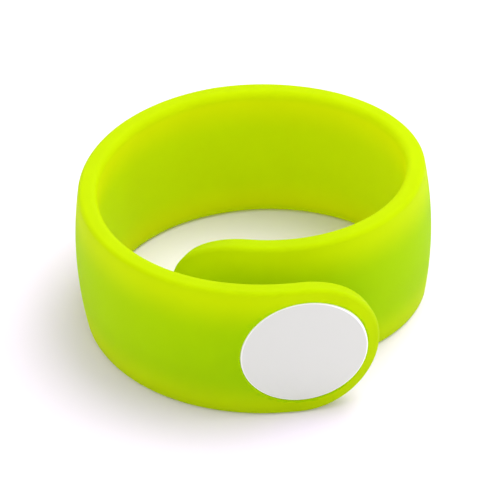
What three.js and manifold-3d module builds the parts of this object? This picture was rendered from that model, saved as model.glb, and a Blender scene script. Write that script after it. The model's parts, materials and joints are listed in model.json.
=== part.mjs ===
// Adjustable silicone wristband with a round white badge, standing on its lower edge.
// The strap is one flat moulding with full-round ends, curled into an open loop that overlaps itself.
// Millimetres, +Z up. X runs along the loop's longest side and the badge faces -Y.
// The origin is at the middle of the bounding box, on the surface that the band stands on.

import * as THREE from 'three';
import { ParametricGeometry } from 'three/addons/geometries/ParametricGeometry.js';
import { mergeVertices } from 'three/addons/utils/BufferGeometryUtils.js';
import Module from 'manifold-3d';

// ---- Strap: developed sizes -------------------------------------------------------------------
const STRAP_LENGTH = 225; // tip to tip, along the middle of the thickness
const STRAP_WIDTH = 30; // also the diameter of the full-round ends
const EDGE_THICKNESS = 3.6;
const CROWN = 1.25; // how much thicker the middle of the width is than the edges, on the outer face
const OUTER_FILLET = 0.8;
const INNER_FILLET = 1.4;

// ---- Curl at rest -----------------------------------------------------------------------------
// Radii of the bend at equally spaced stations, head tip first; the curvature is linear between them.
const CURL_RADII = [74.5, 34.8, 27.1, 32.9, 38.9, 19.3, 32.1, 29.7];
const HEAD_TIP_HEADING_DEG = 203.7; // way the strap runs from the head tip, from +X towards +Y
const LEAN_DEG = [-0.8, 1.0, 1.4, -2.7, 2.3]; // how far the strap leans outwards, at equally spaced stations

// ---- Badge and closure stud -------------------------------------------------------------------
const BADGE_DIAMETER = 24;
const BADGE_THICKNESS = 1.5;
const BADGE_TOWARDS_TIP = 0.5; // from the middle of the head's round end to the middle of the badge
const BADGE_SUNK = 0.2; // how far the middle of the badge lies under the face of the curved head
const BADGE_CHAMFER = 0.3;
const SHANK_DIAMETER = 3.6;
const BUTTON_DIAMETER = 6;
const BUTTON_THICKNESS = 1.6;
const BUTTON_EDGE = 0.4; // chamfer that leads the button into a hole
const FLANGE_DIAMETER = 7; // rests against the wrist side of the head
const FLANGE_THICKNESS = 0.8;
const PIN_DIAMETER = 1.8; // on the stud, pressed into the bore of the cap's post
const PIN_CLEARANCE = 0.15; // around the pin
const BORE_ROOF = 0.9; // plastic left between the bore and the badge face
const FIT_CLEARANCE = 0.3; // between touching pieces

// ---- Adjusting holes in the tail --------------------------------------------------------------
const HOLE_COUNT = 3;
const HOLE_PITCH = 9;
const FIRST_HOLE_INSET = 15; // from the tail tip to the first hole
const HOLE_WEB = 2.4; // thickness left around a hole, which the button snaps behind
const HOLE_CLEARANCE = 0.4; // on the shank's diameter
const COUNTERBORE_CLEARANCE = 1; // on the button's diameter

// ---- Bend lines, where the strap flexes -------------------------------------------------------
const HEAD_BEND_AT = 66; // from the head tip
const LOOP_BEND_AT = 128; // from the head tip
const BEND_GAP = 0.8;
const KNUCKLE_ROOT = 1; // how far a knuckle runs into the piece that it belongs to

// ---- Colours ----------------------------------------------------------------------------------
const SILICONE_GREEN = 0xb4d80a;
const ABS_WHITE = 0xe6e5e4;

// ---- Fineness of the faceted solids -----------------------------------------------------------
const CURL_STEP = 0.25; // spacing of the points that the curl is worked out at
const SIDE_STEPS = 42; // along each straight side of the strap
const END_STEPS = 12; // around each full-round end
const FILLET_STEPS = 3;
const OUTER_SHARES = [0, 0.35, 0.65, 0.85]; // of the half width, from the middle to the fillet
const INNER_SHARES = [0, 0.25, 0.5, 0.75];
const ROUND_STEPS = 32;
const SLEEVE_STEP = 3; // along the sleeves that the strap is divided with
const CUT_PAST = 3; // how far cutters run past the faces that they cut
const MERGE_DISTANCE = 1e-4;

const HALF_WIDTH = STRAP_WIDTH / 2;
const OUTER_FACE = EDGE_THICKNESS / 2;
const MIDDLE_OUTER_FACE = OUTER_FACE + CROWN;
const INNER_FACE = -EDGE_THICKNESS / 2;
const BADGE_FROM_TIP = HALF_WIDTH - BADGE_TOWARDS_TIP;
const SEAT_RADIUS = BADGE_DIAMETER / 2 + FIT_CLEARANCE;

const wasm = await Module();
wasm.setup();

/** The strap's mid-line seen from above. Its curvature is linear between equally spaced stations. */
class Curl extends THREE.Curve {
  constructor(length, radii, headingDeg) {
    super();
    this.length = length;
    this.curvatures = radii.map((radius) => 1 / radius);
    this.steps = Math.round(length / CURL_STEP);
    this.places = [{ x: 0, y: 0, heading: THREE.MathUtils.degToRad(headingDeg) }];
    for (let i = 0; i < this.steps; i += 1) this.places.push(this.next(i));
  }

  curvatureAt(along) {
    const spans = this.curvatures.length - 1;
    const position = THREE.MathUtils.clamp((along / this.length) * spans, 0, spans);
    const first = Math.min(Math.floor(position), spans - 1);
    return THREE.MathUtils.lerp(this.curvatures[first], this.curvatures[first + 1], position - first);
  }

  next(i) {
    const { x, y, heading } = this.places[i];
    const step = this.length / this.steps;
    const turn = this.curvatureAt((i + 0.5) * step) * step;
    const middle = heading - turn / 2;
    return { x: x + step * Math.cos(middle), y: y + step * Math.sin(middle), heading: heading - turn };
  }

  /** Place and heading at a distance from the head tip; past either tip the line runs on straight. */
  frame(along) {
    const inside = THREE.MathUtils.clamp(along, 0, this.length);
    const position = (inside / this.length) * this.steps;
    const first = Math.min(Math.floor(position), this.steps - 1);
    const [a, b] = [this.places[first], this.places[first + 1]];
    const share = position - first;
    const heading = THREE.MathUtils.lerp(a.heading, b.heading, share);
    const past = along - inside;
    const x = THREE.MathUtils.lerp(a.x, b.x, share) + past * Math.cos(heading);
    const y = THREE.MathUtils.lerp(a.y, b.y, share) + past * Math.sin(heading);
    return { x, y, heading };
  }

  getPoint(t, target = new THREE.Vector3()) {
    const { x, y } = this.frame(t * this.length);
    return target.set(x, y, 0);
  }
}

const curl = new Curl(STRAP_LENGTH, CURL_RADII, HEAD_TIP_HEADING_DEG);

function leanAt(along) {
  const spans = LEAN_DEG.length - 1;
  const position = THREE.MathUtils.clamp((along / STRAP_LENGTH) * spans, 0, spans);
  const first = Math.min(Math.floor(position), spans - 1);
  const degrees = THREE.MathUtils.lerp(LEAN_DEG[first], LEAN_DEG[first + 1], position - first);
  return Math.tan(THREE.MathUtils.degToRad(degrees));
}

/**
 * Bends the flat strap. A point of it is given along from the head tip, across from the middle of the
 * width and outward from the middle of the edge thickness.
 */
function curled(along, across, outward, target) {
  const { x, y, heading } = curl.frame(along);
  const offset = outward + leanAt(along) * across;
  return target.set(x - Math.sin(heading) * offset, y + Math.cos(heading) * offset, HALF_WIDTH + across);
}

/**
 * A frame on the middle of the width: X along the strap, Y outwards through its thickness, Z up.
 * X runs along the chord under something that reaches to both sides by the reach.
 */
function frameOnStrap(along, reach) {
  const [before, after] = [curl.frame(along - reach), curl.frame(along + reach)];
  const heading = Math.atan2(after.y - before.y, after.x - before.x);
  const origin = curled(along, 0, 0, new THREE.Vector3());
  return new THREE.Matrix4().makeRotationZ(heading).setPosition(origin);
}

// ---- Solids -----------------------------------------------------------------------------------

/** A closed geometry as a manifold solid, with shared vertices merged and collapsed faces left out. */
function toSolid(geometry) {
  const bare = geometry.clone();
  bare.deleteAttribute('normal');
  bare.deleteAttribute('uv');
  const merged = mergeVertices(bare, MERGE_DISTANCE);
  const index = merged.index.array;
  const triangles = [];
  for (let i = 0; i < index.length; i += 3) {
    const [a, b, c] = index.slice(i, i + 3);
    if (a !== b && b !== c && c !== a) triangles.push(a, b, c);
  }
  const vertProperties = new Float32Array(merged.attributes.position.array);
  const mesh = new wasm.Mesh({ numProp: 3, vertProperties, triVerts: new Uint32Array(triangles) });
  return new wasm.Manifold(mesh);
}

function toGeometry(solid) {
  const { vertProperties, triVerts } = solid.getMesh();
  const geometry = new THREE.BufferGeometry();
  geometry.setAttribute('position', new THREE.BufferAttribute(vertProperties, 3));
  geometry.setIndex(new THREE.BufferAttribute(triVerts, 1));
  return geometry;
}

/** A turned piece about the thickness direction; its outline lists [radius, outward] pairs. */
function turnedOnStrap(outline, along, reach) {
  const points = outline.map(([radius, y]) => new THREE.Vector2(radius, y));
  return new THREE.LatheGeometry(points, ROUND_STEPS).applyMatrix4(frameOnStrap(along, reach));
}

function roundCutter(radius, from, to, along, reach = radius) {
  return toSolid(turnedOnStrap([[0, from], [radius, from], [radius, to], [0, to]], along, reach));
}

// ---- Strap: a profile carried around the outline of the flat strip, then bent along the curl ----

/** The section from the middle of the inner face, over both edge fillets, to the middle of the outer face. */
function sectionStations() {
  const flats = (shares, face) => shares.map((share) => ({ inset: HALF_WIDTH * (1 - share), face, drop: 0 }));
  const fillet = (radius, face) => {
    const arc = [];
    for (let i = 0; i <= FILLET_STEPS; i += 1) {
      const angle = (i / FILLET_STEPS) * (Math.PI / 2);
      arc.push({ inset: radius * (1 - Math.sin(angle)), face, drop: radius * (1 - Math.cos(angle)) });
    }
    return arc;
  };
  return [
    ...flats(INNER_SHARES, -1),
    ...fillet(INNER_FILLET, -1),
    ...fillet(OUTER_FILLET, 1).reverse(),
    ...flats(OUTER_SHARES, 1).reverse(),
  ];
}

/** Stations once around the strip: a core point on the middle line and the way out to the edge from it. */
function outlineStations() {
  const [headCore, tailCore] = [HALF_WIDTH, STRAP_LENGTH - HALF_WIDTH];
  const stations = [];
  for (let i = 0; i < SIDE_STEPS; i += 1) {
    stations.push({ core: THREE.MathUtils.lerp(headCore, tailCore, i / SIDE_STEPS), angle: Math.PI / 2 });
  }
  for (let i = 0; i < END_STEPS; i += 1) {
    stations.push({ core: tailCore, angle: Math.PI * (0.5 - i / END_STEPS) });
  }
  for (let i = 0; i < SIDE_STEPS; i += 1) {
    stations.push({ core: THREE.MathUtils.lerp(tailCore, headCore, i / SIDE_STEPS), angle: -Math.PI / 2 });
  }
  for (let i = 0; i < END_STEPS; i += 1) {
    stations.push({ core: headCore, angle: -Math.PI * (0.5 + i / END_STEPS) });
  }
  return stations;
}

/** The crown sinks to nothing at the middle of the badge, which keeps the face around the badge flat. */
function crownAt(along, inset) {
  const grown = THREE.MathUtils.smoothstep(Math.abs(along - BADGE_FROM_TIP), 0, SEAT_RADIUS);
  const share = 1 - inset / HALF_WIDTH;
  return CROWN * grown * (1 - share * share);
}

function wholeStrap() {
  const section = sectionStations();
  const outline = outlineStations();
  const place = (u, v, target) => {
    const { core, angle } = outline[Math.round(u * outline.length) % outline.length];
    const { inset, face, drop } = section[Math.round(v * (section.length - 1))];
    const along = core + Math.cos(angle) * (HALF_WIDTH - inset);
    const across = Math.sin(angle) * (HALF_WIDTH - inset);
    const surface = face > 0 ? OUTER_FACE + crownAt(along, inset) : INNER_FACE;
    curled(along, across, surface - face * drop, target);
  };
  return toSolid(new ParametricGeometry(place, outline.length, section.length - 1));
}

// ---- Cuts in the strap ------------------------------------------------------------------------

const BADGE_FACE = OUTER_FACE - BADGE_SUNK;
const SEAT_FLOOR = BADGE_FACE - BADGE_THICKNESS - FIT_CLEARANCE;

function headCuts() {
  const seat = roundCutter(SEAT_RADIUS, SEAT_FLOOR, OUTER_FACE + CUT_PAST, BADGE_FROM_TIP);
  const shankRadius = SHANK_DIAMETER / 2 + FIT_CLEARANCE;
  const shankHole = roundCutter(shankRadius, INNER_FACE - CUT_PAST, OUTER_FACE, BADGE_FROM_TIP, SEAT_RADIUS);
  return seat.add(shankHole);
}

function adjustingHole(along) {
  const radius = (SHANK_DIAMETER + HOLE_CLEARANCE) / 2;
  const wideRadius = (BUTTON_DIAMETER + COUNTERBORE_CLEARANCE) / 2;
  const web = MIDDLE_OUTER_FACE - HOLE_WEB;
  const hole = roundCutter(radius, INNER_FACE, MIDDLE_OUTER_FACE + CUT_PAST, along);
  const counterbore = roundCutter(wideRadius, INNER_FACE - CUT_PAST, web, along);
  return hole.add(counterbore);
}

function finishedStrap() {
  let strap = wholeStrap().subtract(headCuts());
  for (let i = 0; i < HOLE_COUNT; i += 1) {
    strap = strap.subtract(adjustingHole(STRAP_LENGTH - FIRST_HOLE_INSET - i * HOLE_PITCH));
  }
  return strap;
}

// ---- Division at the bend lines ----------------------------------------------------------------
// Silicone bends everywhere; here it bends about two upright axes. On the side that swings, the strap
// ends in a round knuckle about the axis; the fixed side stops short of it.

const KNUCKLE_RADIUS = (EDGE_THICKNESS + CROWN) / 2;
const KNUCKLE_OFFSET = CROWN / 2; // from the mid-line to the middle of the crowned thickness
const SLEEVE_HALF_THICKNESS = MIDDLE_OUTER_FACE + CUT_PAST;
const SLEEVE_HALF_WIDTH = HALF_WIDTH + CUT_PAST;

/** A fat sleeve around one stretch of the strap, which takes that stretch out of it. */
function sleeve(from, to) {
  const count = Math.max(2, Math.ceil((to - from) / SLEEVE_STEP));
  const points = [];
  for (let i = 0; i <= count; i += 1) {
    const { x, y } = curl.frame(THREE.MathUtils.lerp(from, to, i / count));
    points.push(new THREE.Vector3(x, y, HALF_WIDTH));
  }
  const section = new THREE.Shape();
  section.moveTo(-SLEEVE_HALF_WIDTH, -SLEEVE_HALF_THICKNESS);
  section.lineTo(SLEEVE_HALF_WIDTH, -SLEEVE_HALF_THICKNESS);
  section.lineTo(SLEEVE_HALF_WIDTH, SLEEVE_HALF_THICKNESS);
  section.lineTo(-SLEEVE_HALF_WIDTH, SLEEVE_HALF_THICKNESS);
  section.closePath();
  const path = new THREE.CatmullRomCurve3(points);
  return toSolid(new THREE.ExtrudeGeometry(section, { steps: count, extrudePath: path }));
}

function bendAxis(along) {
  const axis = curled(along, 0, KNUCKLE_OFFSET, new THREE.Vector3());
  return axis.setZ(0);
}

/** The round end of a swinging piece; the strap's fixed side lies towards +1 or -1 along the strap. */
function knuckle(strap, along, towards) {
  const height = 2 * SLEEVE_HALF_WIDTH;
  const barrel = new THREE.CylinderGeometry(KNUCKLE_RADIUS, KNUCKLE_RADIUS, height, ROUND_STEPS);
  barrel.rotateX(Math.PI / 2).translate(0, 0, HALF_WIDTH);
  const { x, y } = bendAxis(along);
  barrel.translate(x, y, 0);
  const root = along - towards * KNUCKLE_ROOT;
  const tip = along + towards * (KNUCKLE_RADIUS + KNUCKLE_ROOT);
  const stock = strap.intersect(sleeve(Math.min(root, tip), Math.max(root, tip)));
  return stock.intersect(toSolid(barrel));
}

function dividedStrap() {
  const strap = finishedStrap();
  const past = KNUCKLE_RADIUS + BEND_GAP;
  const head = strap.intersect(sleeve(-CUT_PAST, HEAD_BEND_AT));
  const back = strap.intersect(sleeve(HEAD_BEND_AT + past, LOOP_BEND_AT - past));
  const tail = strap.intersect(sleeve(LOOP_BEND_AT, STRAP_LENGTH + CUT_PAST));
  return {
    head: head.add(knuckle(strap, HEAD_BEND_AT, 1)),
    back,
    tail: tail.add(knuckle(strap, LOOP_BEND_AT, -1)),
  };
}

// ---- Badge cap and closure stud -----------------------------------------------------------------

const NECK_LENGTH = HOLE_WEB + FIT_CLEARANCE;

/** How far out the curved wrist side of the head comes at its lowest around the stud's flange. */
function wristSideAtFlange() {
  const toBadge = frameOnStrap(BADGE_FROM_TIP, SEAT_RADIUS).invert();
  const heights = [];
  for (let i = 0; i < ROUND_STEPS; i += 1) {
    const angle = (i / ROUND_STEPS) * 2 * Math.PI;
    const along = BADGE_FROM_TIP + (FLANGE_DIAMETER / 2) * Math.cos(angle);
    const across = (FLANGE_DIAMETER / 2) * Math.sin(angle);
    heights.push(curled(along, across, INNER_FACE, new THREE.Vector3()).applyMatrix4(toBadge).y);
  }
  return Math.min(...heights);
}

const WRIST_SIDE = wristSideAtFlange();

/** White disc with a chamfered rim and, behind it, a hollow post that goes through the head. */
function badgeCap() {
  const radius = BADGE_DIAMETER / 2;
  const bore = PIN_DIAMETER / 2 + PIN_CLEARANCE;
  const underside = BADGE_FACE - BADGE_THICKNESS;
  return turnedOnStrap([
    [0, BADGE_FACE - BORE_ROOF],
    [bore, BADGE_FACE - BORE_ROOF],
    [bore, WRIST_SIDE],
    [SHANK_DIAMETER / 2, WRIST_SIDE],
    [SHANK_DIAMETER / 2, underside],
    [radius, underside],
    [radius, BADGE_FACE - BADGE_CHAMFER],
    [radius - BADGE_CHAMFER, BADGE_FACE],
    [0, BADGE_FACE],
  ], BADGE_FROM_TIP, SEAT_RADIUS);
}

/** Flange against the wrist side of the head, neck, button, and the pin that is pressed into the cap. */
function closureStud() {
  const flangeTop = WRIST_SIDE - FIT_CLEARANCE;
  const neckTop = flangeTop - FLANGE_THICKNESS;
  const buttonTop = neckTop - NECK_LENGTH;
  const tip = buttonTop - BUTTON_THICKNESS;
  const pinTip = BADGE_FACE - BORE_ROOF - FIT_CLEARANCE;
  return turnedOnStrap([
    [0, tip],
    [BUTTON_DIAMETER / 2 - BUTTON_EDGE, tip],
    [BUTTON_DIAMETER / 2, tip + BUTTON_EDGE],
    [BUTTON_DIAMETER / 2, buttonTop - BUTTON_EDGE],
    [BUTTON_DIAMETER / 2 - BUTTON_EDGE, buttonTop],
    [SHANK_DIAMETER / 2, buttonTop],
    [SHANK_DIAMETER / 2, neckTop],
    [FLANGE_DIAMETER / 2, neckTop],
    [FLANGE_DIAMETER / 2, flangeTop],
    [PIN_DIAMETER / 2, flangeTop],
    [PIN_DIAMETER / 2, pinTip],
    [0, pinTip],
  ], BADGE_FROM_TIP, SEAT_RADIUS);
}

// ---- Assembly -----------------------------------------------------------------------------------

const silicone = () => new THREE.MeshStandardMaterial({ color: SILICONE_GREEN, roughness: 0.55 });
const plastic = () => new THREE.MeshStandardMaterial({ color: ABS_WHITE, roughness: 0.3 });

/** A body that swings about an upright axis: its group stands on the axis. */
function swingingBody(axis, pieces) {
  const body = new THREE.Group();
  body.position.copy(axis);
  for (const { name, geometry, material } of pieces) {
    geometry.translate(-axis.x, -axis.y, -axis.z);
    const mesh = new THREE.Mesh(geometry, material);
    mesh.name = name;
    body.add(mesh);
  }
  return body;
}

function assembly() {
  const { head, back, tail } = dividedStrap();
  const band = new THREE.Group();
  band.add(swingingBody(new THREE.Vector3(), [
    { name: 'strap_back', geometry: toGeometry(back), material: silicone() },
  ]));
  band.add(swingingBody(bendAxis(HEAD_BEND_AT), [
    { name: 'strap_head', geometry: toGeometry(head), material: silicone() },
    { name: 'badge_cap', geometry: badgeCap(), material: plastic() },
    { name: 'closure_stud', geometry: closureStud(), material: plastic() },
  ]));
  band.add(swingingBody(bendAxis(LOOP_BEND_AT), [
    { name: 'strap_tail', geometry: toGeometry(tail), material: silicone() },
  ]));
  const box = new THREE.Box3().setFromObject(band);
  const middle = box.getCenter(new THREE.Vector3());
  band.position.set(-middle.x, -middle.y, -box.min.z);
  const group = new THREE.Group();
  group.add(band);
  return group;
}

export default assembly();
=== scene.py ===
"""Adjustable silicone wristband with a round white badge: its pieces, finishes, stage and camera.

Metres, +Z up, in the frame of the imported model. The strap is described flat, by a distance along it
from the head tip, a distance across it from the middle of its width and a distance outwards from the
middle of its edge thickness. Curl.bend carries those three numbers to the curled strap.
"""

import json
import math
from collections import namedtuple

import bmesh
import bpy
import numpy as np
from bpy.props import FloatProperty, FloatVectorProperty, IntProperty, PointerProperty, StringProperty
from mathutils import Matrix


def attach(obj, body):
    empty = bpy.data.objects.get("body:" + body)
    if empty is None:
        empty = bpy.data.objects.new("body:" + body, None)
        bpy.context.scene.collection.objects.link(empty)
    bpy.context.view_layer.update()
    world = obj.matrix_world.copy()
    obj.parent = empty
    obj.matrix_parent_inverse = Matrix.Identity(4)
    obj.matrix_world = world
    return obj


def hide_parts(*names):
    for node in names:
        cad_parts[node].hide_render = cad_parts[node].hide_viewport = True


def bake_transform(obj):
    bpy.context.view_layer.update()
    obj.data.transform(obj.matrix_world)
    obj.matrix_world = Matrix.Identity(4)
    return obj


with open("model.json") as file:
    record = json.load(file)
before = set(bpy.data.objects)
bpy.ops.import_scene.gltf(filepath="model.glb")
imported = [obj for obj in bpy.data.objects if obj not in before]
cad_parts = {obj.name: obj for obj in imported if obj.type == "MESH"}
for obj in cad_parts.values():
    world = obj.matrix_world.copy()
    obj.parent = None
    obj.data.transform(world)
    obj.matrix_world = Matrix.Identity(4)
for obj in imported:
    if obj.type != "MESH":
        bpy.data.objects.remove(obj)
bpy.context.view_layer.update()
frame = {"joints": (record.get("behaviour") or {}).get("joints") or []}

bl_info = {
    "name": "Silicone Wristband",
    "version": (1, 0, 0),
    "blender": (4, 5, 0),
    "location": "View3D > Sidebar > Wristband",
    "description": "Builds an adjustable silicone wristband with a round badge and a press stud",
    "category": "Add Mesh",
}

MM = 0.001

# Fineness of the meshes
CURL_STEP = 0.25 * MM  # spacing of the points that the curl is worked out at
MESH_STEP = 0.75 * MM
END_STEPS = 64  # around each full-round end
FILLET_STEPS = 7
LAND_STEPS = 3  # across the flat land between the two fillets of an edge
LIP_STEPS = 4
SEAT_ROWS = (9, 27)  # from the badge's seat, and from the post's hole behind it, to the outline
HOLE_ROWS = (6, 6)  # from an adjusting hole to the square around it
END_ROWS = (18, 18)  # from the last adjusting hole to the outline of the tail
TURN_STEPS = 160  # around the badge and the stud
SEAM_STRIP = 0.02 * MM  # narrow last row, which keeps the shading level where two pieces meet
WELD = 0.002 * MM
FIT_ROUNDS = 8  # corrections made when a circle is laid on the curved strap
CREASE = math.radians(40)


# ---- Sizes and colours ---------------------------------------------------------------------------


def length_prop(name, description, default_mm):
    default = default_mm * MM
    return FloatProperty(name=name, description=description, default=default, unit="LENGTH", precision=4)


def place_prop(name, description, default_mm):
    default = [part * MM for part in default_mm]
    return FloatVectorProperty(name=name, description=description, default=default, subtype="TRANSLATION")


def colour_prop(name, description, default):
    return StringProperty(name=name, description=description + ", as an sRGB hex value", default=default)


class StrapSizes(bpy.types.PropertyGroup):
    """Sizes of the silicone strap, flat and curled."""

    length: length_prop("Length", "Tip to tip, along the middle of the thickness", 225)
    width: length_prop("Width", "Width, and diameter of the full-round ends", 30)
    edge_thickness: length_prop("Edge Thickness", "Thickness along both edges", 3.6)
    crown: length_prop("Crown", "Extra thickness at the middle of the width", 1.25)
    outer_fillet: length_prop("Outer Fillet", "Radius between the outer face and the edge", 0.8)
    inner_fillet: length_prop("Inner Fillet", "Radius between the wrist side and the edge", 1.4)
    radii: FloatVectorProperty(
        name="Curl Radii",
        description="Bend radii at equally spaced stations, head tip first",
        size=8,
        default=[radius * MM for radius in (74.5, 34.8, 27.1, 32.9, 38.9, 19.3, 32.1, 29.7)],
        unit="LENGTH",
    )
    heading: FloatProperty(
        name="Head Heading",
        description="Way the strap runs from the head tip",
        default=math.radians(203.7),
        subtype="ANGLE",
    )
    lean: FloatVectorProperty(
        name="Lean",
        description="How far the strap leans outwards at equally spaced stations, in degrees",
        size=5,
        default=(-0.8, 1.0, 1.4, -2.7, 2.3),
    )
    head_bend_at: length_prop("Head Bend", "Distance of the head's bend line from the head tip", 66)
    head_end_at: length_prop("Head End", "How far the mesh around the badge's seat reaches", 33)
    head_flex_from: length_prop("Head Flex From", "Where the head starts to bend, from the head tip", 46)
    head_flex_to: length_prop("Head Flex To", "Where the head stops bending, from the head tip", 86)
    seam_at: length_prop("Seam", "Where the two halves of the mesh meet, from the head tip", 92)
    tail_flex_from: length_prop("Tail Flex From", "Where the tail starts to bend, from the head tip", 108)
    tail_flex_way: place_prop("Tail Flex Way", "From there to where the tail stops bending", (17.7, -18.3, 0))


class HoleSizes(bpy.types.PropertyGroup):
    """Sizes of the adjusting holes in the tail."""

    count: IntProperty(name="Holes", description="Number of adjusting holes", default=3, min=1, max=6)
    pitch: length_prop("Pitch", "Distance between two adjusting holes", 9)
    inset: length_prop("Inset", "Distance from the tail tip to the first hole", 15)
    diameter: length_prop("Diameter", "Diameter of a hole, a little over the stud's neck", 4)
    counterbore: length_prop("Counterbore", "Diameter of the recess that takes the button", 7)
    web: length_prop("Web", "Thickness that the button snaps behind", 2.4)
    lip: length_prop("Lip", "Rounding of every mouth", 0.22)


class BadgeSizes(bpy.types.PropertyGroup):
    """Sizes of the badge cap and of its seat in the head."""

    diameter: length_prop("Diameter", "Diameter of the badge", 24)
    thickness: length_prop("Thickness", "Thickness of the badge", 1.5)
    sunk: length_prop("Sunk", "How far its middle lies under the face of the head", 0.2)
    edge: length_prop("Edge", "Rounding of its rim", 0.3)
    towards_tip: length_prop("Towards Tip", "From the middle of the round end to its own middle", 0.5)
    chord_reach: length_prop("Chord Reach", "Half the chord it lies along; the crown is full beyond", 12.3)
    seat_gap: length_prop("Seat Gap", "Gap around the badge in its seat", 0.07)
    seat_floor_gap: length_prop("Seat Floor Gap", "Gap under the badge", 0.3)
    post: length_prop("Post", "Diameter of the hollow post behind the badge", 3.6)
    post_hole: length_prop("Post Hole", "Diameter of the hole for the post", 4.2)
    bore: length_prop("Bore", "Bore of the post", 2.1)
    bore_roof: length_prop("Bore Roof", "Plastic left between the bore and the face", 0.9)


class StudSizes(bpy.types.PropertyGroup):
    """Sizes of the closure stud behind the head."""

    flange: length_prop("Flange", "Diameter of the flange against the wrist side", 7)
    flange_thickness: length_prop("Flange Thickness", "Thickness of the flange", 0.8)
    neck: length_prop("Neck", "Diameter of the neck", 3.6)
    neck_length: length_prop("Neck Length", "Length of the neck", 2.7)
    button: length_prop("Button", "Diameter of the button", 6)
    button_thickness: length_prop("Button Thickness", "Thickness of the button", 1.6)
    pin: length_prop("Pin", "Diameter of the pin in the badge's post", 1.8)
    gap: length_prop("Gap", "Gap between the stud and what it touches", 0.06)
    rounding: length_prop("Rounding", "Rounding of the button's edges", 0.4)


class Colours(bpy.types.PropertyGroup):
    """Colours of the finishes."""

    silicone: colour_prop("Silicone", "Colour of the strap's outer face", "#9AD002")
    # painted light: the wrist side's colour is lighter and yellower than the outer face, for light that
    # crosses the loop
    silicone_inside_lit: colour_prop("Silicone Inside", "Colour of its wrist side", "#B7DA02")
    # painted glow: the band and edge colours stand in for light that comes through the thin rubber near its
    # edges
    silicone_band_glow: colour_prop("Silicone Band", "Colour near its edges", "#C2E002")
    silicone_inside_band_glow: colour_prop("Silicone Inside Band", "That colour on the wrist side", "#D3E002")
    silicone_edge_glow: colour_prop("Silicone Edge", "Colour of its thin edges, lit from inside", "#B9D904")
    silicone_sheen: colour_prop("Silicone Sheen", "Tint of its reflections, seen straight on", "#D8FF10")
    silicone_glow: colour_prop("Silicone Glow", "Colour of the light that comes through it", "#F4F804")
    badge: colour_prop("Badge", "Colour of the badge", "#D2D5CD")
    # painted highlight: the rim colour stands in for the light that the badge's rounded rim catches
    badge_rim_highlight: colour_prop("Badge Rim", "Colour of the badge's rounded rim", "#F4F4F3")
    stud: colour_prop("Stud", "Colour of the stud", "#EDEDE9")
    floor: colour_prop("Floor", "Colour of the floor", "#EBE2F0")


class StageSizes(bpy.types.PropertyGroup):
    """The floor, the lights and the camera."""

    lens: FloatProperty(name="Lens", description="Focal length in millimetres", default=194.6)
    distance: length_prop("Distance", "Distance of the camera from the point it looks at", 521.7)
    elevation: FloatProperty(
        name="Elevation",
        description="How steeply the camera looks down",
        default=math.radians(40.27),
        subtype="ANGLE",
    )
    tilt: FloatProperty(
        name="Tilt",
        description="How far the camera is tilted up from that point",
        default=math.radians(0.3175),
        subtype="ANGLE",
    )
    aim: place_prop("Aim", "Point that the camera looks at", (-0.963, -4.683, 13.55))
    floor: length_prop("Floor Size", "Side of the square floor", 6000)
    room: FloatProperty(name="Room", description="Strength of the even white light all round", default=0.97)
    top_softbox: place_prop("Top Softbox", "Middle of the softbox above", (350, 250, 950))
    top_size: length_prop("Top Size", "Side of the softbox above", 700)
    top_power: FloatProperty(name="Top Power", description="Its power, in watts", default=8.0)
    side_softbox: place_prop("Side Softbox", "Middle of the weak softbox on the right", (900, -200, 350))
    side_size: length_prop("Side Size", "Side of the softbox on the right", 600)
    side_power: FloatProperty(name="Side Power", description="Its power, in watts", default=1.6)
    light_aim: place_prop("Light Aim", "Point that the softboxes face, in the middle of the loop", (0, 0, 15))


# ---- The curled strap ----------------------------------------------------------------------------

Place = namedtuple("Place", "along origin chord out up")


def joint(name):
    return next(found for found in frame["joints"] if found["name"] == name)


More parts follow.
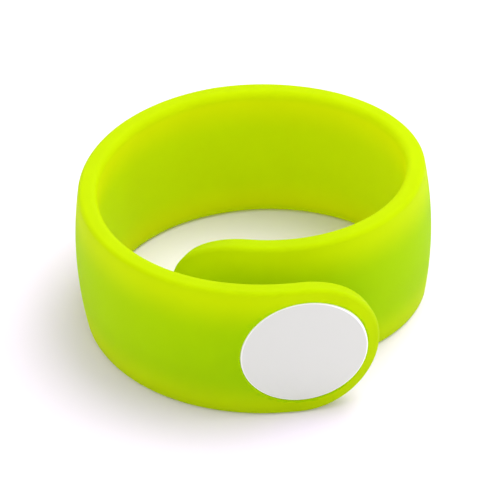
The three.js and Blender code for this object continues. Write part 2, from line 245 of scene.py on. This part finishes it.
class Curl:
    """The strap's mid-line seen from above, and the bend that carries the flat strap onto it."""

    def __init__(self, strap, badge):
        """The heading turns by the curvature, and the place moves along the heading, step by step.

        The curvature is linear between equally spaced stations. The line is then moved so that its
        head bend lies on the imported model's own axis.
        """
        self.length = strap.length
        self.half_width = strap.width / 2
        self.lean = np.array(strap.lean)
        self.half_edge = strap.edge_thickness / 2
        self.crown = strap.crown
        self.badge_at = self.half_width - badge.towards_tip
        self.chord_reach = badge.chord_reach
        steps = round(strap.length / CURL_STEP)
        step = strap.length / steps
        self.stations = np.linspace(0, strap.length, steps + 1)
        knots = np.linspace(0, strap.length, len(strap.radii))
        curvature = np.interp(self.stations[:-1] + step / 2, knots, 1 / np.array(strap.radii))
        self.heading = strap.heading - np.concatenate([[0], np.cumsum(curvature * step)])
        middle = (self.heading[1:] + self.heading[:-1]) / 2
        self.x = np.concatenate([[0], np.cumsum(np.cos(middle) * step)])
        self.y = np.concatenate([[0], np.cumsum(np.sin(middle) * step)])
        axis = self.bend(strap.head_bend_at, 0.0, strap.crown / 2)
        wanted = joint("head_flex")["pos_m"]
        self.x += wanted[0] - axis[0]
        self.y += wanted[1] - axis[1]

    def line(self, along):
        """Place and heading of the mid-line; past either tip it runs on straight."""
        inside = np.clip(along, 0, self.length)
        heading = np.interp(inside, self.stations, self.heading)
        past = along - inside
        x = np.interp(inside, self.stations, self.x) + past * np.cos(heading)
        y = np.interp(inside, self.stations, self.y) + past * np.sin(heading)
        return x, y, heading

    def bend(self, along, across, outward):
        """The mid-line's point, moved along its normal by outward plus the lean's tangent times across."""
        along, across, outward = np.broadcast_arrays(along, across, outward)
        x, y, heading = self.line(along)
        knots = np.linspace(0, self.length, len(self.lean))
        lean = np.tan(np.radians(np.interp(along, knots, self.lean)))
        offset = outward + lean * across
        return np.stack(
            [x - np.sin(heading) * offset, y + np.cos(heading) * offset, self.half_width + across], axis=-1
        )

    def share(self, along, across):
        """Distance from the strap's core line over the half width: 0 on the core, 1 on the outline."""
        core = np.clip(along, self.half_width, self.length - self.half_width)
        return np.hypot(along - core, across) / self.half_width

    def outer(self, along, across):
        """Half the edge thickness plus the crown times one minus the share squared.

        The crown fades out towards the badge's middle, by three squares less two cubes.
        """
        away = np.clip(np.abs(along - self.badge_at) / self.chord_reach, 0, 1)
        grown = away * away * (3 - 2 * away)
        return self.half_edge + self.crown * grown * (1 - self.share(along, across) ** 2)

    def inner(self, along, across):
        """Half the edge thickness, inwards."""
        return np.full(np.broadcast(along, across).shape, -self.half_edge)

    def wrist_side(self, place, reach):
        """The lowest height of the wrist side on a circle about the place, along its outward direction."""
        angle = np.linspace(0, 2 * np.pi, TURN_STEPS, endpoint=False)
        along = place.along + reach * np.cos(angle)
        across = reach * np.sin(angle)
        points = self.bend(along, across, self.inner(along, across))
        return float(((points - place.origin) @ place.out).min())

    def place(self, along, reach):
        """A straight frame on the middle of the width, along the chord that reaches to both sides."""
        x, y, _ = self.line(np.array([along - reach, along + reach]))
        heading = math.atan2(y[1] - y[0], x[1] - x[0])
        chord = np.array([math.cos(heading), math.sin(heading), 0.0])
        out = np.array([-math.sin(heading), math.cos(heading), 0.0])
        return Place(along, self.bend(along, 0.0, 0.0), chord, out, np.array([0.0, 0.0, 1.0]))


# ---- Surfaces ------------------------------------------------------------------------------------
# A patch is a grid of points, with each point's share of the way from the core to the outline, its share
# of the depth from the outer face to the wrist side, and whether the last column joins the first.


def face_patch(curl, face, along, across):
    """A face of the strap over a grid of flat places."""
    along, across = np.broadcast_arrays(along, across)
    depth = 1.0 if face == curl.inner else 0.0
    return curl.bend(along, across, face(along, across)), curl.share(along, across), depth


def turned(place, radius, height, angle):
    """A circle of that radius about the place's outward direction, at that height along it."""
    parts = np.broadcast_arrays(radius, height, angle)
    radius, height, angle = (np.asarray(part)[..., None] for part in parts)
    flat = radius * np.cos(angle) * place.chord + radius * np.sin(angle) * place.up
    return place.origin + flat + height * place.out


def circle_on_face(curl, place, radius, angle, face):
    """The flat places at which a straight round cutter meets a face of the curled strap.

    The place along the strap is corrected by the miss along the cutter's chord, a few times over.
    """
    across = radius * np.sin(angle)
    along = place.along + radius * np.cos(angle)
    for _ in range(FIT_ROUNDS):
        reached = (curl.bend(along, across, face(along, across)) - place.origin) @ place.chord
        along = along + radius * np.cos(angle) - reached
    return along, across


def mouth(curl, place, radius, lip, angle, face, inwards):
    """The rounded mouth of a hole: a quadratic arc from the face over the sharp corner to the wall."""
    along, across = circle_on_face(curl, place, radius + lip, angle, face)
    start = curl.bend(along, across, face(along, across))
    corner_along, corner_across = circle_on_face(curl, place, radius, angle, face)
    corner = curl.bend(corner_along, corner_across, face(corner_along, corner_across))
    end = corner + inwards * lip * place.out
    t = np.linspace(0, 1, LIP_STEPS + 1)[:, None, None]
    rows = (1 - t) ** 2 * start + 2 * t * (1 - t) * corner + t**2 * end
    return (along, across), rows


def ring_patch(curl, face, hole, loop, rows):
    """A face between a hole and a closed outline: straight lines from one to the other when flat."""
    t = np.linspace(0, 1, rows + 1)[:, None]
    along = hole[0] * (1 - t) + loop[0] * t
    across = hole[1] * (1 - t) + loop[1] * t
    return face_patch(curl, face, along, across)


def through_hole(curl, place, outer_loop, inner_loop, outer_radius, inner_radius, steps, lip, rows):
    """A hole through the strap, and both faces from its mouths to the outlines around it.

    The wall is turned from the outer mouth through each (radius, height) step to the inner mouth.
    """
    first = np.unwrap(np.arctan2(outer_loop[1], outer_loop[0] - place.along))
    last = np.unwrap(np.arctan2(inner_loop[1], inner_loop[0] - place.along))
    outer_ring, outer_mouth = mouth(curl, place, outer_radius, lip, first, curl.outer, -1)
    inner_ring, inner_mouth = mouth(curl, place, inner_radius, lip, last, curl.inner, 1)
    t = np.linspace(0, 1, len(steps))[:, None]
    radius, height = (np.array(column)[:, None] for column in zip(*steps))
    wall = turned(place, radius, height, first * (1 - t) + last * t)
    grid = np.concatenate([outer_mouth, wall, inner_mouth[::-1]])
    return [
        (grid, 0.0, np.linspace(0, 1, len(grid))[:, None]),
        ring_patch(curl, curl.outer, outer_ring, outer_loop, rows[0]),
        ring_patch(curl, curl.inner, inner_ring, inner_loop, rows[1]),
    ]


def steps_between(start, end, step=MESH_STEP):
    return np.linspace(start, end, max(2, round(abs(end - start) / step)) + 1)


def across_line(half_width, reach, core):
    """Places across the strap: evenly spaced from an edge to the core band, over it and on to the other."""
    flank = max(2, round((half_width - core) / MESH_STEP))
    right = np.linspace(core, reach, flank + 1)
    return np.concatenate([-right[:0:-1], steps_between(-core, core), right[1:]])


def end_path(cut, core, towards):
    """From a cut along one side of the strap, around its full-round end and back along the other side.

    Gives the core points and the unit directions from them to the outline.
    """
    side = steps_between(cut, core)
    turn = np.linspace(math.pi / 2, -math.pi / 2, END_STEPS + 1)[1:-1]
    still = np.zeros(len(side))
    cores = np.concatenate([side, np.full(len(turn), core), side[::-1]])
    forward = np.concatenate([still, towards * np.cos(turn), still])
    sideways = np.concatenate([still + 1, np.sin(turn), still - 1])
    return cores, forward, sideways


def end_loop(path, line, cut, reach):
    """The closed outline of one end: straight across the cut, then the end path at that reach."""
    cores, forward, sideways = path
    along = np.concatenate([np.full(len(line) - 2, cut), cores + forward * reach])
    across = np.concatenate([line[1:-1], sideways * reach])
    return along, across


def edge_patch(curl, strap, strip, path):
    """The rounded edge of the strap, carried from the seam around the end and back to the seam.

    The section runs down the outer fillet's quarter circle, over the flat land and around the inner
    fillet's quarter circle. Both fillets follow their own face.
    """
    cores, forward, sideways = path
    ones = np.ones(len(strip) - 1)
    cores = np.concatenate([strip[:-1], cores, strip[:-1][::-1]])[:, None]
    forward = np.concatenate([ones * 0, forward, ones * 0])[:, None]
    sideways = np.concatenate([ones, sideways, -ones])[:, None]
    quarter = np.linspace(0, math.pi / 2, FILLET_STEPS + 1)
    insets, heights = [], []
    for face, radius in ((curl.outer, strap.outer_fillet), (curl.inner, strap.inner_fillet)):
        inset = radius * (1 - np.sin(quarter))
        reach = curl.half_width - inset
        surface = face(cores + forward * reach, sideways * reach)
        side = 1 if face == curl.outer else -1
        insets.append(inset)
        heights.append(surface - side * radius * (1 - np.cos(quarter)))
    t = np.linspace(0, 1, LAND_STEPS + 1)[1:-1]
    land = heights[0][:, -1:] * (1 - t) + heights[1][:, -1:] * t
    inset = np.concatenate([insets[0], np.zeros(len(t)), insets[1][::-1]])
    outward = np.concatenate([heights[0], land, heights[1][:, ::-1]], axis=1)
    reach = curl.half_width - inset
    along, across = cores + forward * reach, sideways * reach
    depth = np.linspace(0, 1, len(inset))[None, :]
    return curl.bend(along, across, outward), curl.share(along, across), depth


def square_loop(start, end, side, core):
    """The closed outline of the square around an adjusting hole."""
    line = side[:-1]
    there, back = steps_between(start, end)[:-1], steps_between(end, start)[:-1]
    along = [np.full(len(line), start), there, np.full(len(line), end), back]
    across = [line, np.full(len(there), core), -line, np.full(len(back), -core)]
    return np.concatenate(along), np.concatenate(across)


# ---- Meshes --------------------------------------------------------------------------------------


def grid_faces(rows, columns, first, closed):
    """Quads between the neighbours of a grid; a closed grid joins its last column to its first."""
    index = np.arange(rows * columns).reshape(rows, columns) + first
    if closed:
        index = np.concatenate([index, index[:, :1]], axis=1)
    quads = np.stack([index[:-1, :-1], index[:-1, 1:], index[1:, 1:], index[1:, :-1]], axis=-1)
    return quads.reshape(-1, 4)


def welded_mesh(name, patches):
    """One closed mesh from patches: welded, faces outwards, an open end filled in the second material."""
    points, shares, depths, faces, first = [], [], [], [], 0
    for grid, share, depth, closed in patches:
        rows, columns = grid.shape[:2]
        points.append(grid.reshape(-1, 3))
        shares.append(np.broadcast_to(share, (rows, columns)).reshape(-1))
        depths.append(np.broadcast_to(depth, (rows, columns)).reshape(-1))
        faces.append(grid_faces(rows, columns, first, closed))
        first += rows * columns
    mesh = bpy.data.meshes.new(name)
    mesh.from_pydata(np.concatenate(points), [], np.concatenate(faces))
    for label, values in (("outline_share", shares), ("depth_share", depths)):
        attribute = mesh.attributes.new(label, "FLOAT", "POINT")
        attribute.data.foreach_set("value", np.concatenate(values).astype(np.float32))
    work = bmesh.new()
    work.from_mesh(mesh)
    bmesh.ops.remove_doubles(work, verts=work.verts, dist=WELD)
    open_edges = [edge for edge in work.edges if edge.is_boundary]
    if open_edges:
        for face in bmesh.ops.holes_fill(work, edges=open_edges)["faces"]:
            face.material_index = 1
    if any(not edge.is_manifold for edge in work.edges):
        raise RuntimeError(f"{name} is not one closed surface")
    bmesh.ops.recalc_face_normals(work, faces=work.faces)
    if work.calc_volume(signed=True) < 0:
        bmesh.ops.reverse_faces(work, faces=work.faces)
    work.to_mesh(mesh)
    work.free()
    mesh.shade_smooth()
    mesh.set_sharp_from_angle(angle=CREASE)
    return mesh


def add_object(name, mesh, material):
    made = bpy.data.objects.new(name, mesh)
    bpy.context.scene.collection.objects.link(made)
    mesh.materials.append(material)
    return made


def rounded_profile(corners):
    """A profile with rounded corners: quadratic arcs between the points one rounding before and after.

    Corners are (radius, height, rounding); a rounding of nothing keeps the corner sharp.
    """
    places = np.array([corner[:2] for corner in corners])
    profile = [places[0]]
    for before, here, after, corner in zip(places, places[1:], places[2:], corners[1:]):
        if not corner[2]:
            profile.append(here)
            continue
        to_start = (before - here) / np.linalg.norm(before - here)
        to_end = (after - here) / np.linalg.norm(after - here)
        start, end = here + to_start * corner[2], here + to_end * corner[2]
        t = np.linspace(0, 1, LIP_STEPS + 2)[:, None]
        profile.extend((1 - t) ** 2 * start + 2 * t * (1 - t) * here + t**2 * end)
    profile.append(places[-1])
    return np.array(profile)


def turned_piece(name, place, corners):
    """A profile of (radius, height) carried once around the place's outward direction."""
    profile = rounded_profile(corners)
    angle = np.linspace(0, 2 * math.pi, TURN_STEPS, endpoint=False)
    grid = turned(place, profile[:, :1], profile[:, 1:], angle[None, :])
    reach = profile[:, :1] / profile[:, 0].max()
    return welded_mesh(name, [(grid, reach, 0.0, True)])


# ---- Materials -----------------------------------------------------------------------------------


def linear(colour):
    """An sRGB hex colour as linear red, green, blue and a full alpha."""
    channels = [int(colour[i : i + 2], 16) / 255 for i in (1, 3, 5)]
    curve = [c / 12.92 if c <= 0.04045 else ((c + 0.055) / 1.055) ** 2.4 for c in channels]
    return (*curve, 1.0)


def add_node(tree, kind, inputs=None, **settings):
    """Adds a node with its settings, and fills each input with a value or links it to an output."""
    made = tree.nodes.new(kind)
    for name, value in settings.items():
        setattr(made, name, value)
    for key, value in (inputs or {}).items():
        if isinstance(value, bpy.types.NodeSocket):
            tree.links.new(value, made.inputs[key])
        else:
            made.inputs[key].default_value = value
    return made


def new_material(name):
    material = bpy.data.materials.new(name)
    material.use_nodes = True
    material.node_tree.nodes.clear()
    return material, material.node_tree


def finish_material(tree, shader):
    add_node(tree, "ShaderNodeOutputMaterial", {"Surface": shader.outputs[0]})


def noise(tree, where, size_mm, detail):
    """Noise with features of about this size."""
    inputs = {"Vector": where, "Scale": 1 / (size_mm * MM), "Detail": detail}
    return add_node(tree, "ShaderNodeTexNoise", inputs).outputs[0]


def remapped(tree, value, before, after=(0.0, 1.0), interpolation_type="LINEAR"):
    """A value carried from one range to another."""
    ends = {"From Min": before[0], "From Max": before[1], "To Min": after[0], "To Max": after[1]}
    made = add_node(
        tree, "ShaderNodeMapRange", {"Value": value, **ends}, interpolation_type=interpolation_type
    )
    return made.outputs["Result"]


def mixed(tree, share, first, second, blend_type="MIX"):
    """A colour between two others; the node's sockets 0, 6 and 7 are the share and the two colours."""
    inputs = {0: share, 6: first, 7: second}
    return add_node(tree, "ShaderNodeMix", inputs, data_type="RGBA", blend_type=blend_type).outputs[2]


def bumped(tree, height, strength, depth_mm, normal=None):
    """The normal of a surface that is uneven by this depth, on top of another normal if there is one."""
    inputs = {"Height": height, "Strength": strength, "Distance": depth_mm * MM}
    if normal:
        inputs["Normal"] = normal
    return add_node(tree, "ShaderNodeBump", inputs).outputs[0]


def moulded_silicone(colours):
    """Translucent lime silicone rubber, compression moulded in a fine-blasted mould.

    To the eye it is satin: soft wide highlights, an even body colour, and thin edges that glow
    because the light comes through them. Part of that glow, and of the lighter wrist side, is painted light
    in the colour.
    """
    material, tree = new_material("lime_silicone_moulded")
    where = add_node(tree, "ShaderNodeTexCoord").outputs["Object"]
    outline = add_node(tree, "ShaderNodeAttribute", attribute_name="outline_share").outputs["Fac"]
    depth = add_node(tree, "ShaderNodeAttribute", attribute_name="depth_share").outputs["Fac"]
    # painted light: the wrist side is painted a little yellower and lighter, for the light that has crossed
    # the loop
    face = mixed(tree, depth, linear(colours.silicone), linear(colours.silicone_inside_lit))
    # painted glow: a warm band towards the edges, where the rubber gets thinner and lets more light through
    band = mixed(tree, depth, linear(colours.silicone_band_glow), linear(colours.silicone_inside_band_glow))
    with_band_glow = mixed(tree, remapped(tree, outline, (0.35, 0.9), interpolation_type="SMOOTHSTEP"), face, band)
    # painted glow: the thin edges themselves are painted lighter, as if lit from inside
    edge_glow_share = remapped(tree, outline, (0.82, 1.0), interpolation_type="SMOOTHSTEP")
    body = mixed(tree, edge_glow_share, with_band_glow, linear(colours.silicone_edge_glow))
    # pigment that isn't quite evenly mixed: clouds about 9 mm across
    clouds = remapped(tree, noise(tree, where, 9, 3.0), (0.3, 0.7), (0.97, 1.03))
    colour = mixed(tree, 1.0, body, clouds, "MULTIPLY")
    # slow unevenness of a rubber moulding, about 6 mm across
    slow = bumped(tree, noise(tree, where, 6, 1.0), 0.25, 0.08)
    # the blasted mould's grain, drawn at 0.35 mm because the real 0.05 mm is too fine to show
    grain = noise(tree, where, 0.35, 2.0)
    satin = remapped(tree, grain, (0.3, 0.7), (0.46, 0.58))
    shader = add_node(
        tree,
        "ShaderNodeBsdfPrincipled",
        {
            "Base Color": colour,
            "Roughness": satin,
            "IOR": 1.41,
            "Specular IOR Level": 0.1,
            "Specular Tint": linear(colours.silicone_sheen),
            "Normal": bumped(tree, grain, 0.35, 0.01, slow),
        },
    )
    # light that has come through the rubber: yellower than what its skin sends back, and nearly half of it
    through = add_node(tree, "ShaderNodeBsdfTranslucent", {"Color": linear(colours.silicone_glow)})
    both = add_node(tree, "ShaderNodeMixShader", {0: 0.45, 1: shader.outputs[0], 2: through.outputs[0]})
    finish_material(tree, both)
    return material


def moulded_plastic(name, colour, rim_highlight_colour, roughness, grain_mm):
    """Injection-moulded plastic: an even colour under a smooth skin with a faint grain and flow marks.

    Its outer rim takes the rim colour; on the badge that is a little whiter than the rest, a painted
    highlight where the rounded rim catches the light.
    """
    material, tree = new_material(name)
    where = add_node(tree, "ShaderNodeTexCoord").outputs["Object"]
    # flow marks about 7 mm across
    flow = noise(tree, where, 7, 2.0)
    reach = add_node(tree, "ShaderNodeAttribute", attribute_name="outline_share").outputs["Fac"]
    # painted highlight: the outermost ring of the turned piece is painted in the rim colour
    disc = mixed(tree, remapped(tree, reach, (0.972, 0.984)), linear(colour), linear(rim_highlight_colour))
    base = mixed(tree, 1.0, disc, remapped(tree, flow, (0.2, 0.8), (0.993, 1.005)), "MULTIPLY")
    worn = remapped(tree, flow, (0.3, 0.7), (roughness - 0.03, roughness + 0.04))
    shader = add_node(
        tree,
        "ShaderNodeBsdfPrincipled",
        {
            "Base Color": base,
            "Roughness": worn,
            "IOR": 1.5,
            "Normal": bumped(tree, noise(tree, where, grain_mm, 2.0), 0.2, 0.006),
        },
    )
    finish_material(tree, shader)
    return material


def seam_face():
    """The hidden face where a half of the strap ends: matt white, so that it swallows no light."""
    material, tree = new_material("white_seam_face")
    white = {"Base Color": (1.0, 1.0, 1.0, 1.0), "Roughness": 1.0, "Specular IOR Level": 0.0}
    finish_material(tree, add_node(tree, "ShaderNodeBsdfPrincipled", white))
    return material


def matt_floor(colours):
    """A sheet of matt white board, faintly lilac to balance the green light that the strap throws on it."""
    material, tree = new_material("white_board")
    shader = add_node(
        tree,
        "ShaderNodeBsdfPrincipled",
        {"Base Color": linear(colours.floor), "Roughness": 0.9, "Specular IOR Level": 0.1},
    )
    finish_material(tree, shader)
    return material


# ---- Pieces --------------------------------------------------------------------------------------


def head_half(curl, strap, holes, badge):
    """The strap from the head tip to the seam, with the badge's seat and the hole for its post."""
    core = curl.half_width
    cut = strap.head_end_at
    square = holes.pitch / 2
    strip = np.concatenate([[strap.seam_at], steps_between(strap.seam_at - SEAM_STRIP, cut)])
    path = end_path(cut, core, -1)
    reaches = [curl.half_width - strap.outer_fillet, curl.half_width - strap.inner_fillet]
    lines = [across_line(curl.half_width, reach, square) for reach in reaches]
    loops = [end_loop(path, line, cut, reach) for line, reach in zip(lines, reaches)]
    place = curl.place(curl.badge_at, curl.chord_reach)
    face = curl.half_edge - badge.sunk
    floor = face - badge.thickness - badge.seat_floor_gap
    seat = badge.diameter / 2 + badge.seat_gap
    post = badge.post_hole / 2
    steps = [(seat, floor + holes.lip), (seat, floor), (post, floor), (post, floor - holes.lip)]
    hole = through_hole(curl, place, *loops, seat, post, steps, holes.lip, SEAT_ROWS)
    return [
        (*face_patch(curl, curl.outer, strip[:, None], lines[0]), False),
        (*face_patch(curl, curl.inner, strip[:, None], lines[1]), False),
        (*edge_patch(curl, strap, strip, path), False),
        *((*patch, True) for patch in hole),
    ]


def tail_half(curl, strap, holes):
    """The strap from the seam to the tail tip, with the adjusting holes and their counterbores."""
    core = strap.length - curl.half_width
    square = holes.pitch / 2
    last = strap.length - holes.inset
    cut = last - square
    first_cut = cut - (holes.count - 1) * holes.pitch
    strip = np.concatenate([[strap.seam_at], steps_between(strap.seam_at + SEAM_STRIP, first_cut)])
    starts = [first_cut + i * holes.pitch for i in range(holes.count - 1)]
    squares = [steps_between(start, start + holes.pitch) for start in starts]
    edge_strip = np.concatenate([strip, *(along[1:] for along in squares)])
    path = end_path(cut, core, 1)
    reaches = [curl.half_width - strap.outer_fillet, curl.half_width - strap.inner_fillet]
    lines = [across_line(curl.half_width, reach, square) for reach in reaches]
    loops = [end_loop(path, line, cut, reach) for line, reach in zip(lines, reaches)]
    radii = holes.diameter / 2, holes.counterbore / 2
    web = curl.half_edge + curl.crown - holes.web
    steps = [(radii[0], web + holes.lip), (radii[0], web), (radii[1], web), (radii[1], web - holes.lip)]
    patches = [(*edge_patch(curl, strap, edge_strip, path), False)]
    for face, line in zip((curl.outer, curl.inner), lines):
        patches.append((*face_patch(curl, face, strip[:, None], line), False))
        for along in squares:
            for side in (line[line > square - WELD], line[line < WELD - square]):
                patches.append((*face_patch(curl, face, along[:, None], side), False))
    side = steps_between(-square, square)
    for along in squares:
        place = curl.place((along[0] + along[-1]) / 2, radii[0])
        loop = square_loop(along[0], along[-1], side, square)
        hole = through_hole(curl, place, loop, loop, *radii, steps, holes.lip, HOLE_ROWS)
        patches.extend((*patch, True) for patch in hole)
    place = curl.place(last, radii[0])
    hole = through_hole(curl, place, *loops, *radii, steps, holes.lip, END_ROWS)
    patches.extend((*patch, True) for patch in hole)
    return patches


class WRISTBAND_OT_strap(bpy.types.Operator):
    """Build the silicone strap in two halves that meet without a step behind the wrist"""

    bl_idname = "wristband.strap"
    bl_label = "Silicone Strap"

    def execute(self, context):
        sizes = context.scene.wristband_strap
        holes = context.scene.wristband_holes
        badge = context.scene.wristband_badge
        curl = Curl(sizes, badge)
        material = moulded_silicone(context.scene.wristband_colours)
        mesh = welded_mesh("silicone_strap_head", head_half(curl, sizes, holes, badge))
        head = add_object("silicone_strap_head", mesh, material)
        mesh = welded_mesh("silicone_strap_tail", tail_half(curl, sizes, holes))
        tail = add_object("silicone_strap_tail", mesh, material)
        curl.bend(sizes.head_flex_from, 0.0, 0.0).tolist()
        curl.bend(sizes.head_flex_to, 0.0, 0.0).tolist()
        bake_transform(head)
        start = curl.bend(sizes.tail_flex_from, 0.0, 0.0)
        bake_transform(tail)
        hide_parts("strap_head", "strap_back")
        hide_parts("strap_tail")
        ends = seam_face()
        for half in (head, tail):
            half.data.materials.append(ends)
        return {"FINISHED"}


class WRISTBAND_OT_badge_cap(bpy.types.Operator):
    """Build the round badge and the hollow post behind it"""

    bl_idname = "wristband.badge_cap"
    bl_label = "Badge Cap"

    def execute(self, context):
        badge = context.scene.wristband_badge
        curl = Curl(context.scene.wristband_strap, badge)
        face = curl.half_edge - badge.sunk
        back = face - badge.thickness
        radius = badge.diameter / 2
        place = curl.place(curl.badge_at, curl.chord_reach)
        post_end = curl.wrist_side(place, context.scene.wristband_stud.flange / 2)
        mesh = turned_piece(
            "white_badge_cap",
            place,
            [
                (0, face, 0),
                (radius, face, badge.edge),
                (radius, back, badge.edge),
                (badge.post / 2, back, 0),
                (badge.post / 2, post_end, badge.edge),
                (badge.bore / 2, post_end, 0),
                (badge.bore / 2, face - badge.bore_roof, 0),
                (0, face - badge.bore_roof, 0),
            ],
        )
        colours = context.scene.wristband_colours
        material = moulded_plastic(
            "white_abs_moulded", colours.badge, colours.badge_rim_highlight, roughness=0.34, grain_mm=0.5
        )
        cap = add_object("white_badge_cap", mesh, material)
        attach(cap, "head_arm")
        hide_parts("badge_cap")
        return {"FINISHED"}


class WRISTBAND_OT_closure_stud(bpy.types.Operator):
    """Build the press stud behind the badge: flange, neck, button and pin"""

    bl_idname = "wristband.closure_stud"
    bl_label = "Closure Stud"

    def execute(self, context):
        stud = context.scene.wristband_stud
        badge = context.scene.wristband_badge
        curl = Curl(context.scene.wristband_strap, badge)
        place = curl.place(curl.badge_at, curl.chord_reach)
        top = curl.wrist_side(place, stud.flange / 2) - stud.gap
        flange = top - stud.flange_thickness
        shoulder = flange - stud.neck_length
        tip = shoulder - stud.button_thickness
        pin = curl.half_edge - badge.sunk - badge.bore_roof - stud.gap
        mesh = turned_piece(
            "white_closure_stud",
            place,
            [
                (0, tip, 0),
                (stud.button / 2, tip, stud.rounding * 1.4),
                (stud.button / 2, shoulder, stud.rounding),
                (stud.neck / 2, shoulder, stud.rounding / 2),
                (stud.neck / 2, flange, stud.rounding / 2),
                (stud.flange / 2, flange, stud.rounding / 2),
                (stud.flange / 2, top, stud.rounding / 4),
                (stud.pin / 2, top, 0),
                (stud.pin / 2, pin, stud.rounding / 4),
                (0, pin, 0),
            ],
        )
        colours = context.scene.wristband_colours
        material = moulded_plastic(
            "white_acetal_moulded", colours.stud, colours.stud, roughness=0.26, grain_mm=0.4
        )
        made = add_object("white_closure_stud", mesh, material)
        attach(made, "head_arm")
        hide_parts("closure_stud")
        return {"FINISHED"}


# ---- Stage ---------------------------------------------------------------------------------------


def add_floor(side, material):
    """A flat square at a height of zero, under the object."""
    x, y = np.meshgrid([-side / 2, side / 2], [-side / 2, side / 2])
    corners = np.stack([x, y, np.zeros_like(x)], axis=-1)
    mesh = bpy.data.meshes.new("floor")
    mesh.from_pydata(corners.reshape(-1, 3), [], grid_faces(2, 2, 0, False))
    add_object("floor", mesh, material)


def add_softbox(name, place, aim, size, power):
    """A square area light that faces the aim: tipped by its angle from the vertical, then turned about it."""
    light = bpy.data.lights.new(name, "AREA")
    light.size = size
    light.energy = power
    made = bpy.data.objects.new(name, light)
    bpy.context.scene.collection.objects.link(made)
    made.location = place
    away = np.array(place) - np.array(aim)
    tip = math.acos(away[2] / np.linalg.norm(away))
    made.rotation_euler = (tip, 0.0, math.atan2(away[1], away[0]) + math.pi / 2)


class WRISTBAND_OT_stage(bpy.types.Operator):
    """Lay the pale floor, and set up the soft lights and the camera"""

    bl_idname = "wristband.stage"
    bl_label = "Stage"

    def execute(self, context):
        stage = context.scene.wristband_stage
        add_floor(stage.floor, matt_floor(context.scene.wristband_colours))
        world = bpy.data.worlds.new("studio")
        world.use_nodes = True
        background = world.node_tree.nodes["Background"]
        background.inputs["Color"].default_value = (1.0, 1.0, 1.0, 1.0)
        background.inputs["Strength"].default_value = stage.room
        context.scene.world = world
        context.scene.view_settings.view_transform = "Standard"
        aim = stage.light_aim
        add_softbox("top_softbox", stage.top_softbox, aim, stage.top_size, stage.top_power)
        add_softbox("side_softbox", stage.side_softbox, aim, stage.side_size, stage.side_power)
        camera = bpy.data.objects.new("camera", bpy.data.cameras.new("camera"))
        context.scene.collection.objects.link(camera)
        camera.data.lens = stage.lens
        camera.data.clip_start = 10 * MM
        down = stage.elevation
        away = np.array([0.0, -math.cos(down), math.sin(down)]) * stage.distance
        camera.location = np.array(stage.aim) + away
        camera.rotation_euler = (math.pi / 2 - down + stage.tilt, 0.0, 0.0)
        context.scene.camera = camera
        return {"FINISHED"}


class WRISTBAND_PT_panel(bpy.types.Panel):
    """The wristband's pieces and their sizes"""

    bl_idname = "WRISTBAND_PT_panel"
    bl_label = "Silicone Wristband"
    bl_space_type = "VIEW_3D"
    bl_region_type = "UI"
    bl_category = "Wristband"

    def draw(self, context):
        for operator, group in BUILD_ORDER:
            box = self.layout.box()
            box.operator(operator.bl_idname)
            sizes = getattr(context.scene, group)
            for name in sizes.__annotations__:
                box.prop(sizes, name)
        colours = context.scene.wristband_colours
        for name in colours.__annotations__:
            self.layout.prop(colours, name)


GROUPS = {
    "wristband_strap": StrapSizes,
    "wristband_holes": HoleSizes,
    "wristband_badge": BadgeSizes,
    "wristband_stud": StudSizes,
    "wristband_colours": Colours,
    "wristband_stage": StageSizes,
}
BUILD_ORDER = (
    (WRISTBAND_OT_strap, "wristband_strap"),
    (WRISTBAND_OT_badge_cap, "wristband_badge"),
    (WRISTBAND_OT_closure_stud, "wristband_stud"),
    (WRISTBAND_OT_stage, "wristband_stage"),
)


def register():
    for group in GROUPS.values():
        bpy.utils.register_class(group)
    for name, group in GROUPS.items():
        setattr(bpy.types.Scene, name, PointerProperty(type=group))
    for operator, _ in BUILD_ORDER:
        bpy.utils.register_class(operator)
    bpy.utils.register_class(WRISTBAND_PT_panel)


def unregister():
    bpy.utils.unregister_class(WRISTBAND_PT_panel)
    for operator, _ in reversed(BUILD_ORDER):
        bpy.utils.unregister_class(operator)
    for name, group in reversed(GROUPS.items()):
        delattr(bpy.types.Scene, name)
        bpy.utils.unregister_class(group)


def main():
    register()
    bpy.ops.wristband.strap()
    bpy.ops.wristband.badge_cap()
    bpy.ops.wristband.closure_stud()
    bpy.ops.wristband.stage()


if __name__ == "__main__":
    main()
